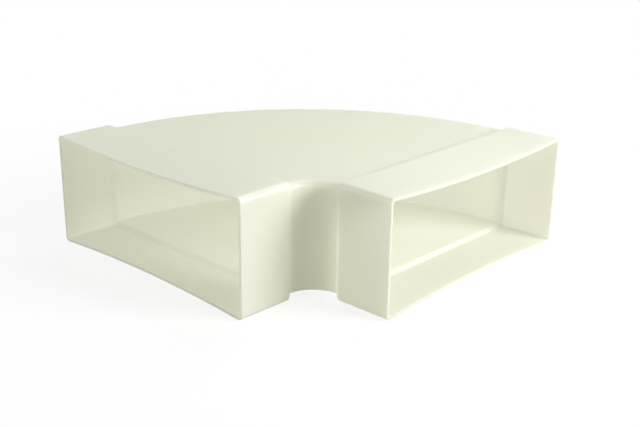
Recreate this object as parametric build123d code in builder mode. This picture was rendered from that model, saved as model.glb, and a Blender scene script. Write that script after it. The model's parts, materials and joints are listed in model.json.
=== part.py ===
"""Flat duct horizontal bend, moulded in one piece from rigid PVC.

A rectangular duct turns through a right angle in plan. Each end opens out into
a socket that the plain end of a straight flat duct pushes into, up to a sloped
shoulder. The long walls of each socket bow inwards at the mouth to grip the duct.

All lengths are in millimetres. The bend lies flat with +Z up, one mouth facing -X
and the other facing -Y, and the origin is under the middle of its bounding box.
"""

import os
from math import cos, radians, sin

from build123d import *

# Straight duct that the sockets take
DUCT_WIDTH = 220.0
DUCT_HEIGHT = 90.0

# Moulded wall
WALL = 2.5
SOCKET_CLEARANCE = 0.5
INNER_CORNER_RADIUS = 2.0
RIM_CHAMFER = 0.4

# Turn in plan
BEND_ANGLE = 90.0
THROAT_RADIUS = 24.0
LEAD_LENGTH = 1.5

# Sockets
SOCKET_DEPTH = 48.0
MOUTH_BOW = 4.5
RAMP_RUN = 3.0
RAMP_SETBACK = 1.5
RAMP_ROUNDING = 3.0
LIP_ROUNDING = 1.5

# Outlines, each as the growth of the duct's own outline
BODY_OUTSIDE = 0.0
BODY_BORE = BODY_OUTSIDE - WALL
SOCKET_BORE = SOCKET_CLEARANCE
COLLAR_OUTSIDE = SOCKET_BORE + WALL
RIM_BORE = SOCKET_BORE + RIM_CHAMFER
RIM_OUTSIDE = COLLAR_OUTSIDE - RIM_CHAMFER

# Places that follow from the sizes
OUTER_CORNER_RADIUS = INNER_CORNER_RADIUS + WALL
COLLAR_LENGTH = SOCKET_DEPTH + RAMP_SETBACK
ARM_LENGTH = COLLAR_LENGTH + RAMP_RUN + LEAD_LENGTH
CENTRE_RADIUS = THROAT_RADIUS + DUCT_WIDTH / 2
OUTER_REACH = THROAT_RADIUS + DUCT_WIDTH + COLLAR_OUTSIDE
BEND_CENTRE = (ARM_LENGTH - OUTER_REACH) / 2
MID_HEIGHT = DUCT_HEIGHT / 2 + COLLAR_OUTSIDE

bend_axis = Axis((BEND_CENTRE, BEND_CENTRE, 0), (0, 0, -1))
arc_start = Plane(
    origin=(BEND_CENTRE, BEND_CENTRE + CENTRE_RADIUS, MID_HEIGHT),
    x_dir=(0, 1, 0),
    z_dir=(1, 0, 0),
)
mouth = arc_start.offset(-ARM_LENGTH)
half_turn = radians(BEND_ANGLE / 2)
mirror_plane = Plane(
    origin=(BEND_CENTRE, BEND_CENTRE, MID_HEIGHT),
    x_dir=(0, 0, 1),
    z_dir=(cos(half_turn), -sin(half_turn), 0),
)


def straight_outline(plane, growth, corner_radius):
    """Sketch the duct's outline on a plane, grown all round, with rounded corners."""
    with BuildSketch(plane) as section:
        RectangleRounded(DUCT_WIDTH + 2 * growth, DUCT_HEIGHT + 2 * growth, corner_radius)
    return section.sketch


def bowed_outline(plane, growth, corner_radius):
    """Sketch the duct's outline, grown all round, with rounded corners and its long sides bowed in."""
    half_width = DUCT_WIDTH / 2 + growth
    half_height = DUCT_HEIGHT / 2 + growth
    with BuildSketch(plane) as section:
        with BuildLine():
            right = Line((half_width, -half_height), (half_width, half_height))
            left = Line((-half_width, half_height), (-half_width, -half_height))
            ThreePointArc(right @ 1, (0, half_height - MOUTH_BOW), left @ 0)
            ThreePointArc(left @ 1, (0, MOUTH_BOW - half_height), right @ 0)
        make_face()
        fillet(section.vertices(), corner_radius)
    return section.sketch


def edges_on(part_edges, plane):
    """Pick the edges that lie on a plane across an arm."""
    return part_edges.filter_by(lambda edge: all(plane.contains(vertex) for vertex in edge.vertices()))


def plain_arm(body_growth, socket_growth, rim_growth, socket_length, corner_radius):
    """Build one solid arm whose outline ramps out from the body to a socket, with sharp ramp edges."""
    ramp_start = mouth.offset(socket_length)
    rim = bowed_outline(mouth, rim_growth, corner_radius)
    rim_end = bowed_outline(mouth.offset(RIM_CHAMFER), socket_growth, corner_radius)
    socket_end = straight_outline(ramp_start, socket_growth, corner_radius)
    body_end = straight_outline(ramp_start.offset(RAMP_RUN), body_growth, corner_radius)
    with BuildPart() as arm:
        loft([rim, rim_end, socket_end], ruled=True)
        loft([socket_end, body_end], ruled=True)
        extrude(body_end, amount=ARM_LENGTH - socket_length - RAMP_RUN)
    return arm.part


def elbow(arm, body_growth, corner_radius):
    """Join an arm and its mirror image with the turn between them."""
    with BuildPart() as whole:
        turn_start = straight_outline(arc_start, body_growth, corner_radius)
        revolve(turn_start, axis=bend_axis, revolution_arc=BEND_ANGLE)
        add(arm)
        add(mirror(arm, about=mirror_plane))
    return whole.part


with BuildPart() as outside_arm:
    add(plain_arm(BODY_OUTSIDE, COLLAR_OUTSIDE, RIM_OUTSIDE, COLLAR_LENGTH, OUTER_CORNER_RADIUS))
    collar_edges = edges_on(outside_arm.edges(), mouth.offset(COLLAR_LENGTH))
    body_edges = edges_on(outside_arm.edges(), mouth.offset(COLLAR_LENGTH + RAMP_RUN))
    fillet(collar_edges + body_edges, RAMP_ROUNDING)

with BuildPart() as bore_arm:
    add(plain_arm(BODY_BORE, SOCKET_BORE, RIM_BORE, SOCKET_DEPTH, INNER_CORNER_RADIUS))
    fillet(edges_on(bore_arm.edges(), mouth.offset(SOCKET_DEPTH + RAMP_RUN)), LIP_ROUNDING)

with BuildPart() as duct_bend:
    add(elbow(outside_arm.part, BODY_OUTSIDE, OUTER_CORNER_RADIUS))
    add(elbow(bore_arm.part, BODY_BORE, INNER_CORNER_RADIUS), mode=Mode.SUBTRACT)

duct_bend.part.label = "duct_bend"
os.makedirs("parts", exist_ok=True)
export_step(duct_bend.part, "parts/duct_bend.step")
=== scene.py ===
"""Flat duct horizontal bend in ivory PVC, laid out as an add-on and run as a script.

One operator moulds the bend's shell with Geometry Nodes, and one sets a plain studio.
Lengths are in metres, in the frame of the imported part: +Z is up, one mouth faces -X
and the other faces -Y.
"""

import json
from functools import partial
from math import cos, pi, radians, sin

import bpy
from bpy.props import FloatProperty, FloatVectorProperty, PointerProperty
from mathutils import Matrix, Vector


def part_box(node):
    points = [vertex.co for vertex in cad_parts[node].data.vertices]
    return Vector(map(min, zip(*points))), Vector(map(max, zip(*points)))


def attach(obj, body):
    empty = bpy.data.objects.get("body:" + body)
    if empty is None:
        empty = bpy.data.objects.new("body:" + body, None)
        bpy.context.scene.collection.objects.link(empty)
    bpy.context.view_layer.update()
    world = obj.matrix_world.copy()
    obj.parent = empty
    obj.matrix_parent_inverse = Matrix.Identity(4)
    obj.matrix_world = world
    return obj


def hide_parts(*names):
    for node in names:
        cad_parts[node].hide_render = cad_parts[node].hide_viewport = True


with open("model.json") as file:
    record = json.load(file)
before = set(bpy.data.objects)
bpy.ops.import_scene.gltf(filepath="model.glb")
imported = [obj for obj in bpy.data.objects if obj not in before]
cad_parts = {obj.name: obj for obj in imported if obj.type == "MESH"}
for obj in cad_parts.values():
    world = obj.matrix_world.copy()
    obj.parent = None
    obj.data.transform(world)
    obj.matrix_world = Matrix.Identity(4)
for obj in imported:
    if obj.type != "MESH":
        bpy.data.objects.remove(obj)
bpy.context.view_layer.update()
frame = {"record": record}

bl_info = {
    "name": "Flat Duct Bend",
    "version": (1, 0, 0),
    "blender": (4, 5, 0),
    "location": "View3D > Sidebar > Duct Bend",
    "description": "Moulds a right-angle bend for flat ventilation duct and sets a studio around it",
    "category": "Add Mesh",
}

# Places that come from the frame
BOX_LOW, BOX_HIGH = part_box("duct_bend")
MOUNTS = {mount["name"]: Vector(mount["pos_m"]) for mount in frame["record"]["mounts"]}
MOUTH_X, DUCT_AXIS_Y, MID_HEIGHT = MOUNTS["socket_x"]

# Wall of the collar and the arm's length, which place the duct inside the frame's box
WALL = 0.0025
CLEARANCE = 0.0005
SOCKET_DEPTH = 0.048
RAMP_SETBACK = 0.0015
RAMP_RUN = 0.003
LEAD_LENGTH = 0.0015
ARM_LENGTH = SOCKET_DEPTH + RAMP_SETBACK + RAMP_RUN + LEAD_LENGTH
BEND_CENTRE = MOUTH_X + ARM_LENGTH
DUCT_WIDTH = 2 * (BOX_HIGH.y - DUCT_AXIS_Y - WALL - CLEARANCE)
DUCT_HEIGHT = 2 * (MID_HEIGHT - WALL - CLEARANCE)
THROAT_RADIUS = DUCT_AXIS_Y - BEND_CENTRE - DUCT_WIDTH / 2
QUARTER_TURN = pi / 2

# Steps of the mesh round the outline's corners and round the edges of the wall's section
OUTLINE_ARC_STEPS = 8
SECTION_ARC_STEPS = 6

# Gloss and texture of the PVC, with clouds over the whole piece and fine grain in its skin
SPECULAR_LEVEL = 0.9
CLOUD_SCALE = 9.0
CLOUD_DETAIL = 3.0
CLOUD_ROUGHNESS = 0.08
GRAIN_DETAIL = 2.0
GRAIN_ROUGHNESS = 0.06
GRAIN_BUMP = 0.08
GRAIN_DEPTH = 0.0002
MEAN_NOISE = 0.5

# Camera that takes the photograph's view, with angles in degrees
CAMERA_PLACE = (-0.5971, -0.5681, 0.3300)
CAMERA_YAW = 42.987
CAMERA_PITCH = -20.237
CAMERA_ROLL = 0.908
CAMERA_LENS = 56.64
SENSOR_WIDTH = 36.0

# Floor, which keeps the bend's shadow near it and turns to plain white further out
WHITE = (1.0, 1.0, 1.0)
FLOOR_SIZE = 3.0
SHADOW_NEAR = 0.15
SHADOW_FAR = 0.5

# Softboxes, with their bearing from +X round to +Y and their height above the floor in degrees
SOFTBOX_DISTANCE = 1.3
KEY_SOFTBOX = {"bearing": 292, "height_angle": 23, "side": 0.6}
BACK_SOFTBOX = {"bearing": 25, "height_angle": 55, "side": 0.7}
LEFT_SOFTBOX = {"bearing": 135, "height_angle": 25, "side": 0.7}
FILL_SOFTBOX = {"bearing": 185, "height_angle": 20, "side": 0.7}


def length(name, description, default):
    """Return a property for a length in metres."""
    return FloatProperty(name=name, description=description, default=default, unit="LENGTH", precision=5)


def tone(name, description, default):
    """Return a property for a linear colour."""
    return FloatVectorProperty(
        name=name, description=description, default=default, subtype="COLOR", size=3, min=0.0, max=1.0
    )


def power(name, description, default):
    """Return a property for a lamp's power in watts."""
    return FloatProperty(name=name, description=description, default=default, min=0.0, unit="POWER")


class DuctBendSizes(bpy.types.PropertyGroup):
    """Sizes of the moulded bend."""

    duct_width: length("Duct width", "Width of the straight duct", DUCT_WIDTH)
    duct_height: length("Duct height", "Height of the straight duct", DUCT_HEIGHT)
    corner_radius: length("Corner radius", "Radius of the long edges inside", 0.002)
    wall: length("Wall", "Thickness of the moulded wall", WALL)
    clearance: length("Clearance", "Gap between a duct and its socket", CLEARANCE)
    throat_radius: length("Throat radius", "Radius of the bend's inner wall in plan", THROAT_RADIUS)
    lead_length: length("Lead length", "Straight run between the bend and the ramp", LEAD_LENGTH)
    socket_depth: length("Socket depth", "Depth of a socket down to its shoulder", SOCKET_DEPTH)
    ramp_run: length("Ramp run", "Length of the ramp between body and collar", RAMP_RUN)
    ramp_setback: length("Ramp setback", "Distance of the outer ramp behind the inner one", RAMP_SETBACK)
    mouth_bow: length("Mouth bow", "Inward bow of the long walls at a mouth", 0.0045)
    rim_rounding: length("Rim rounding", "Radius of the rim's edges and of the socket's inmost edge", 0.0004)
    ramp_rounding: length("Ramp rounding", "Radius of the ramp's edges outside", 0.003)
    lip_rounding: length("Lip rounding", "Radius of the lip between shoulder and bore", 0.0015)
    mesh_step: length("Mesh step", "Longest run between two points of the mesh", 0.0045)


SIZE_NAMES = tuple(DuctBendSizes.__annotations__)


class DuctBendFinish(bpy.types.PropertyGroup):
    """Colours and texture of the ivory PVC."""

    ivory: tone("Ivory", "Main colour of the moulded skin", (0.915, 0.925, 0.888))
    cream: tone("Cream", "Slightly darker ivory that clouds the skin", (0.905, 0.91, 0.865))
    glow: tone("Glow", "Colour of the light that passes through the wall", (0.957, 0.947, 0.86))
    light_share: FloatProperty(
        name="Light share", description="Share of the light that each skin of the body's wall lets through",
        default=0.52, min=0.0, max=1.0, subtype="FACTOR",
    )
    collar_share: FloatProperty(
        name="Collar share", description="Share of the light that each skin of a collar's wall lets through",
        default=0.49, min=0.0, max=1.0, subtype="FACTOR",
    )
    roughness: FloatProperty(
        name="Roughness", description="Mean roughness of the moulded skin", default=0.36, min=0.0, max=1.0
    )
    grain: length("Grain", "Size of the moulded skin's fine grain", 0.0012)


class DuctBendStage(bpy.types.PropertyGroup):
    """Light of the studio and its floor."""

    key_power: power("Key power", "Low softbox at the front right, which shines into the right mouth", 18.0)
    back_power: power("Back power", "High softbox behind", 5.4)
    left_power: power("Left power", "Softbox behind at the left", 2.5)
    fill_power: power("Fill power", "Low softbox at the left", 2.3)
    cool_light: tone("Cool light", "Colour of the softboxes behind", (0.9, 1.0, 1.0))
    ambient: FloatProperty(
        name="Ambient", description="Strength of the room's even light", default=0.01, min=0.0
    )
    floor_colour: tone("Floor colour", "Plain colour of the floor", (0.25, 0.25, 0.25))
    floor_lift: FloatProperty(
        name="Floor lift", description="White added to the floor where it is seen, which pales its shadow",
        default=0.81, min=0.0,
    )


class Wire:
    """An output socket in a node tree, whose arithmetic adds Math nodes to that tree."""

    def __init__(self, socket):
        self.socket = socket

    @classmethod
    def node(cls, tree, kind, settings=None, inputs=None, output=0):
        """Add a node, make its settings, feed its sockets and return one of its outputs."""
        made = tree.nodes.new(kind)
        for name, value in (settings or {}).items():
            if name == "choices":
                for _ in range(value - len(made.index_switch_items)):
                    made.index_switch_items.new()
            else:
                setattr(made, name, value)
        for key, value in (inputs or {}).items():
            if isinstance(value, cls):
                tree.links.new(value.socket, made.inputs[key])
            else:
                made.inputs[key].default_value = value
        return cls(made.outputs[output]) if made.outputs else None

    def math(self, operation, *values):
        """Add a Math node that takes this wire and other values."""
        inputs = dict(enumerate((self, *values)))
        return self.node(self.socket.id_data, "ShaderNodeMath", {"operation": operation}, inputs)

    def __add__(self, other):
        return self.math("ADD", other)

    def __sub__(self, other):
        return self.math("SUBTRACT", other)

    def __mul__(self, other):
        return self.math("MULTIPLY", other)

    def __truediv__(self, other):
        return self.math("DIVIDE", other)

    def __neg__(self):
        return self.math("MULTIPLY", -1.0)

    def __radd__(self, other):
        return self + other

    def __rsub__(self, other):
        return -self + other

    def __rmul__(self, other):
        return self * other

    def least(self, other):
        """Return the smaller of two values."""
        return self.math("MINIMUM", other)

    def most(self, other):
        """Return the larger of two values."""
        return self.math("MAXIMUM", other)

    def split(self):
        """Return the three parts of a vector."""
        tree = self.socket.id_data
        parts = self.node(tree, "ShaderNodeSeparateXYZ", inputs={"Vector": self}).socket.node
        return [Wire(output) for output in parts.outputs]


def tree_inputs(tree, names):
    """Give a Geometry Nodes tree its named sizes and return a wire for each of them."""
    tree.interface.new_socket("Geometry", in_out="OUTPUT", socket_type="NodeSocketGeometry")
    for name in names:
        tree.interface.new_socket(name, in_out="INPUT", socket_type="NodeSocketFloat")
    tree.interface.new_socket("Material", in_out="INPUT", socket_type="NodeSocketMaterial")
    group_input = tree.nodes.new("NodeGroupInput")
    return [Wire(output) for output in group_input.outputs if output.name]


def stepped_outline(node, curve, radius, arc_steps, longest):
    """Round a closed outline's corners and cut its long runs into short steps."""
    rounded = node(
        "GeometryNodeFilletCurve", {"mode": "POLY"},
        {"Curve": curve, "Radius": radius, "Count": arc_steps, "Limit Radius": True},
    )
    here = node("GeometryNodeInputPosition")
    following = node("GeometryNodeOffsetPointInCurve", inputs={"Offset": 1}, output="Point Index")
    ahead = node(
        "GeometryNodeFieldAtIndex", {"data_type": "FLOAT_VECTOR", "domain": "POINT"},
        {"Value": here, "Index": following},
    )
    run = node("ShaderNodeVectorMath", {"operation": "DISTANCE"}, {0: here, 1: ahead}, "Value")
    return node("GeometryNodeSubdivideCurve", inputs={"Curve": rounded, "Cuts": run / longest})


def chosen(node, data_type, values):
    """Return the value that an outline's corner takes by its index."""
    index = node("GeometryNodeInputIndex")
    inputs = {str(number): value for number, value in enumerate(values)}
    settings = {"data_type": data_type, "choices": len(values)}
    return node("GeometryNodeIndexSwitch", settings, {"Index": index, **inputs})


def named(node, curve, name):
    """Keep a curve's points under a name, so that the swept mesh can read them."""
    return node(
        "GeometryNodeStoreNamedAttribute", {"data_type": "FLOAT_VECTOR", "domain": "POINT"},
        {"Geometry": curve, "Name": name, "Value": node("GeometryNodeInputPosition")},
    )


def grown(base, half_side, radius, growth, grown_radius):
    """Move one measure of a rounded outline's point to a grown outline with another corner radius."""
    flat = half_side - radius
    core = base.least(flat).most(-flat)
    return core * ((half_side + growth - grown_radius) / flat) + (base - core) * (grown_radius / radius)


def bend_tree():
    """Build the tree that sweeps the wall's section round the duct's outline and bends it in plan.

    The wall is cut lengthways: each of its points has a station along the duct, a growth
    beyond the duct's own outline and the radius of the long edges there. Every pair of such
    a point and a point of the outline is one point of the shell.
    """
    tree = bpy.data.node_groups.new("moulded_bend", "GeometryNodeTree")
    node = partial(Wire.node, tree)
    (
        duct_width, duct_height, corner_radius, wall, clearance, throat_radius, lead_length,
        socket_depth, ramp_run, ramp_setback, mouth_bow, rim_rounding, ramp_rounding,
        lip_rounding, mesh_step, centre, mid_height, material,
    ) = tree_inputs(tree, (*SIZE_NAMES, "bend_centre", "mid_height"))

    # Outline of the body's outside
    outer_radius = corner_radius + wall
    sides = {"Width": duct_width, "Height": duct_height}
    rectangle = node("GeometryNodeCurvePrimitiveQuadrilateral", inputs=sides)
    outline = stepped_outline(node, rectangle, outer_radius, OUTLINE_ARC_STEPS, mesh_step)
    outline = named(node, outline, "outline")

    # Section of the wall along the duct, corner by corner round from the first rim
    collar = clearance + wall
    ramp_start = socket_depth + ramp_setback
    arm = ramp_start + ramp_run + lead_length
    turn_radius = throat_radius + duct_width / 2
    turn = turn_radius * QUARTER_TURN
    whole = 2 * arm + turn
    shoulder_end = socket_depth + ramp_run
    outside = [
        (0.0, collar, rim_rounding), (ramp_start, collar, ramp_rounding),
        (ramp_start + ramp_run, 0.0, ramp_rounding), (whole - ramp_start - ramp_run, 0.0, ramp_rounding),
        (whole - ramp_start, collar, ramp_rounding), (whole, collar, rim_rounding),
    ]
    inside = [
        (whole, clearance, rim_rounding), (whole - socket_depth, clearance, rim_rounding),
        (whole - shoulder_end, -wall, lip_rounding), (shoulder_end, -wall, lip_rounding),
        (socket_depth, clearance, rim_rounding), (0.0, clearance, rim_rounding),
    ]
    corners = [(*corner, outer_radius) for corner in outside]
    corners += [(*corner, corner_radius) for corner in inside]
    radii = [rounding for _, _, rounding, _ in corners]
    points = [
        node("ShaderNodeCombineXYZ", inputs={"X": along, "Y": out, "Z": edge})
        for along, out, _, edge in corners
    ]
    ring = node("GeometryNodeCurvePrimitiveCircle", inputs={"Resolution": len(corners)})
    section = node(
        "GeometryNodeSetPosition", inputs={"Geometry": ring, "Position": chosen(node, "VECTOR", points)}
    )
    section = stepped_outline(node, section, chosen(node, "FLOAT", radii), SECTION_ARC_STEPS, mesh_step)
    section = named(node, section, "wall_point")
    shell = node("GeometryNodeCurveToMesh", inputs={"Curve": section, "Profile Curve": outline})

    # Outline grown to the wall point, measured across and up from the duct's axis
    settings = {"data_type": "FLOAT_VECTOR"}
    base_across, base_up, _ = node("GeometryNodeInputNamedAttribute", settings, {"Name": "outline"}).split()
    station, growth, edge = node("GeometryNodeInputNamedAttribute", settings, {"Name": "wall_point"}).split()
    across = grown(base_across, duct_width / 2, outer_radius, growth, edge)
    up = grown(base_up, duct_height / 2, outer_radius, growth, edge)

    # Long walls bowed in towards each mouth
    from_mouth = station.least(whole - station)
    share = (1 - from_mouth / ramp_start).most(0.0)
    across_share = across / (duct_width / 2 + growth)
    bow = mouth_bow * share * (1 - across_share * across_share)
    height = mid_height + up - bow * up.math("SIGN")

    # Run along the first arm, round the turn and along the second arm
    angle = ((station - arm) / turn_radius).most(0.0).least(QUARTER_TURN)
    before = (station - arm).least(0.0)
    beyond = (station - arm - turn).most(0.0)
    reach = turn_radius + across
    place = node("ShaderNodeCombineXYZ", inputs={
        "X": centre + reach * angle.math("SINE") + before,
        "Y": centre + reach * angle.math("COSINE") - beyond,
        "Z": height,
    })
    shell = node("GeometryNodeSetPosition", inputs={"Geometry": shell, "Position": place})
    for name in ("outline", "wall_point"):
        shell = node("GeometryNodeRemoveAttribute", inputs={"Geometry": shell, "Name": name})
    shell = node("GeometryNodeSetShadeSmooth", inputs={"Geometry": shell, "Shade Smooth": True})
    shell = node("GeometryNodeRealizeInstances", inputs={"Geometry": shell})
    shell = node("GeometryNodeSetMaterial", inputs={"Geometry": shell, "Material": material})
    node("NodeGroupOutput", inputs={"Geometry": shell})
    return tree


def piece_from_tree(name, tree, values):
    """Evaluate a Geometry Nodes tree once and return its result as a plain mesh object."""
    maker = bpy.data.objects.new(name + "_maker", bpy.data.meshes.new(name + "_maker"))
    bpy.context.scene.collection.objects.link(maker)
    modifier = maker.modifiers.new(name, "NODES")
    modifier.node_group = tree
    for item in tree.interface.items_tree:
        if item.in_out == "INPUT":
            modifier[item.identifier] = values[item.name]
    evaluated = maker.evaluated_get(bpy.context.evaluated_depsgraph_get())
    mesh = bpy.data.meshes.new_from_object(evaluated)
    mesh.name = name
    maker.modifiers.remove(modifier)
    bpy.data.objects.remove(maker)
    piece = bpy.data.objects.new(name, mesh)
    bpy.context.scene.collection.objects.link(piece)
    return piece


def ivory_pvc(finish):
    """Return the semi-gloss ivory PVC that the bend is moulded in."""
    material = bpy.data.materials.new("moulded_ivory_pvc")
    material.use_nodes = True
    tree = material.node_tree
    tree.nodes.clear()
    node = partial(Wire.node, tree)
    place = node("ShaderNodeTexCoord", output="Object")

    # Skin with faint clouds and fine grain
    clouds = node(
        "ShaderNodeTexNoise", inputs={"Vector": place, "Scale": CLOUD_SCALE, "Detail": CLOUD_DETAIL}
    )
    grain = node(
        "ShaderNodeTexNoise", inputs={"Vector": place, "Scale": 1 / finish.grain, "Detail": GRAIN_DETAIL}
    )
    uneven = CLOUD_ROUGHNESS * (clouds - MEAN_NOISE) + GRAIN_ROUGHNESS * (grain - MEAN_NOISE)
    colour = node(
        "ShaderNodeMix", {"data_type": "RGBA"},
        {"Factor": clouds, "A": (*finish.ivory, 1.0), "B": (*finish.cream, 1.0)}, "Result",
    )
    bump = node(
        "ShaderNodeBump", inputs={"Height": grain, "Strength": GRAIN_BUMP, "Distance": GRAIN_DEPTH}
    )
    skin = node("ShaderNodeBsdfPrincipled", inputs={
        "Base Color": colour,
        "Roughness": finish.roughness + uneven,
        "Specular IOR Level": SPECULAR_LEVEL,
        "Normal": bump,
    })

    # Light through the wall, which changes from collar to body over the ramp
    glow = node("ShaderNodeBsdfTranslucent", inputs={"Color": (*finish.glow, 1.0)})
    x, y, _ = place.split()
    into_ramp = (x.least(y) - MOUTH_X - SOCKET_DEPTH) / RAMP_RUN
    body = into_ramp.most(0.0).least(1.0)
    share = finish.collar_share + (finish.light_share - finish.collar_share) * body
    wall = node("ShaderNodeMixShader", inputs={0: share, 1: skin, 2: glow})
    node("ShaderNodeOutputMaterial", inputs={"Surface": wall})
    return material


class DUCTBEND_OT_shell(bpy.types.Operator):
    """Mould the bend's shell in place of the plain solid"""

    bl_idname = "duct_bend.shell"
    bl_label = "Moulded Bend"

    def execute(self, context):
        sizes = context.scene.duct_bend_sizes
        values = {name: getattr(sizes, name) for name in SIZE_NAMES}
        values["bend_centre"] = BEND_CENTRE
        values["mid_height"] = MID_HEIGHT
        values["Material"] = ivory_pvc(context.scene.duct_bend_finish)
        piece = piece_from_tree("moulded_bend", bend_tree(), values)
        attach(piece, "root")
        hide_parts("duct_bend")
        return {"FINISHED"}


def where_seen(node, plain, seen):
    """Show one shader to the camera, to reflections and through glass, and the plain one to other rays."""
    camera, glossy, through = [
        node("ShaderNodeLightPath", output=f"Is {kind} Ray") for kind in ("Camera", "Glossy", "Transmission")
    ]
    share = camera.most(glossy).most(through)
    return node("ShaderNodeMixShader", inputs={0: share, 1: plain, 2: seen})


def white_glow(node, strength):
    """Return a white emission, in which a strength of 1 shows as white."""
    return node("ShaderNodeEmission", inputs={"Color": (*WHITE, 1.0), "Strength": strength})


def white_floor(settings):
    """Lay a floor that shows as white and keeps the bend's shadow, and return it."""
    half = FLOOR_SIZE / 2
    mesh = bpy.data.meshes.new("floor")
    corners = [(-half, -half, 0), (half, -half, 0), (half, half, 0), (-half, half, 0)]
    mesh.from_pydata(corners, [], [(0, 1, 2, 3)])
    floor = bpy.data.objects.new("floor", mesh)
    bpy.context.scene.collection.objects.link(floor)

    material = bpy.data.materials.new("white_floor")
    material.use_nodes = True
    material.node_tree.nodes.clear()
    node = partial(Wire.node, material.node_tree)
    plain = node("ShaderNodeBsdfDiffuse", inputs={"Color": (*settings.floor_colour, 1.0)})
    lifted = node("ShaderNodeAddShader", inputs={0: plain, 1: white_glow(node, settings.floor_lift)})
    place = node("ShaderNodeTexCoord", output="Object")
    distance = node("ShaderNodeVectorMath", {"operation": "LENGTH"}, {0: place}, "Value")
    fade = ((distance - SHADOW_NEAR) / (SHADOW_FAR - SHADOW_NEAR)).most(0.0).least(1.0)
    seen = node("ShaderNodeMixShader", inputs={0: fade, 1: lifted, 2: white_glow(node, 1.0)})
    node("ShaderNodeOutputMaterial", inputs={"Surface": where_seen(node, plain, seen)})
    mesh.materials.append(material)
    return floor


def white_room(settings):
    """Return a world that shows as white and gives the room's even light."""
    world = bpy.data.worlds.new("room")
    world.use_nodes = True
    world.node_tree.nodes.clear()
    node = partial(Wire.node, world.node_tree)
    plain = white_glow(node, settings.ambient)
    node("ShaderNodeOutputWorld", inputs={"Surface": where_seen(node, plain, white_glow(node, 1.0))})
    return world


def softbox(name, bearing, height_angle, side, watts, colour=WHITE):
    """Hang a square softbox that faces the bend."""
    data = bpy.data.lights.new(name, "AREA")
    data.size = side
    data.energy = watts
    data.color = colour
    lamp = bpy.data.objects.new(name, data)
    turn, tilt = radians(bearing), radians(height_angle)
    outward = Vector((cos(turn) * cos(tilt), sin(turn) * cos(tilt), sin(tilt)))
    lamp.location = (BOX_LOW + BOX_HIGH) / 2 + SOFTBOX_DISTANCE * outward
    lamp.rotation_euler = (-outward).to_track_quat("-Z", "Y").to_euler()
    bpy.context.scene.collection.objects.link(lamp)


def photograph_camera():
    """Return a camera at the photograph's place, turned by its yaw, pitch and roll."""
    yaw, pitch, roll = radians(CAMERA_YAW), radians(CAMERA_PITCH), radians(CAMERA_ROLL)
    ahead = Vector((cos(pitch) * cos(yaw), cos(pitch) * sin(yaw), sin(pitch)))
    level_right = Vector((sin(yaw), -cos(yaw), 0.0))
    level_up = level_right.cross(ahead)
    right = cos(roll) * level_right + sin(roll) * level_up
    upward = cos(roll) * level_up - sin(roll) * level_right
    data = bpy.data.cameras.new("photograph_camera")
    data.lens = CAMERA_LENS
    data.sensor_width = SENSOR_WIDTH
    camera = bpy.data.objects.new("photograph_camera", data)
    turned = Matrix((right, upward, -ahead)).transposed().to_4x4()
    camera.matrix_world = Matrix.Translation(CAMERA_PLACE) @ turned
    bpy.context.scene.collection.objects.link(camera)
    return camera


class DUCTBEND_OT_stage(bpy.types.Operator):
    """Set the floor, the even room light, the softboxes and the camera"""

    bl_idname = "duct_bend.stage"
    bl_label = "Studio"

    def execute(self, context):
        settings = context.scene.duct_bend_stage
        white_floor(settings)
        context.scene.world = white_room(settings)
        softbox("key_softbox", **KEY_SOFTBOX, watts=settings.key_power)
        softbox("back_softbox", **BACK_SOFTBOX, watts=settings.back_power, colour=settings.cool_light)
        softbox("left_softbox", **LEFT_SOFTBOX, watts=settings.left_power, colour=settings.cool_light)
        softbox("fill_softbox", **FILL_SOFTBOX, watts=settings.fill_power)
        context.scene.camera = photograph_camera()
        context.scene.view_settings.view_transform = "Standard"
        return {"FINISHED"}


class DUCTBEND_PT_panel(bpy.types.Panel):
    """Lists the bend's sizes, its finish and its makers"""

    bl_idname = "DUCTBEND_PT_panel"
    bl_label = "Duct Bend"
    bl_space_type = "VIEW_3D"
    bl_region_type = "UI"
    bl_category = "Duct Bend"

    def draw(self, context):
        scene = context.scene
        for group in (scene.duct_bend_sizes, scene.duct_bend_finish, scene.duct_bend_stage):
            column = self.layout.column(align=True)
            for name in group.__annotations__:
                column.prop(group, name)
        for operator in OPERATORS:
            self.layout.operator(operator.bl_idname)


OPERATORS = (DUCTBEND_OT_shell, DUCTBEND_OT_stage)
CLASSES = (DuctBendSizes, DuctBendFinish, DuctBendStage, *OPERATORS, DUCTBEND_PT_panel)


def register():
    """Register the classes and hang their settings on the scene."""
    for cls in CLASSES:
        bpy.utils.register_class(cls)
    bpy.types.Scene.duct_bend_sizes = PointerProperty(type=DuctBendSizes)
    bpy.types.Scene.duct_bend_finish = PointerProperty(type=DuctBendFinish)
    bpy.types.Scene.duct_bend_stage = PointerProperty(type=DuctBendStage)


def unregister():
    """Take the settings and the classes away again."""
    del bpy.types.Scene.duct_bend_sizes
    del bpy.types.Scene.duct_bend_finish
    del bpy.types.Scene.duct_bend_stage
    for cls in reversed(CLASSES):
        bpy.utils.unregister_class(cls)


def main():
    """Make the bend and its studio."""
    register()
    bpy.ops.duct_bend.shell()
    bpy.ops.duct_bend.stage()


if __name__ == "__main__":
    main()
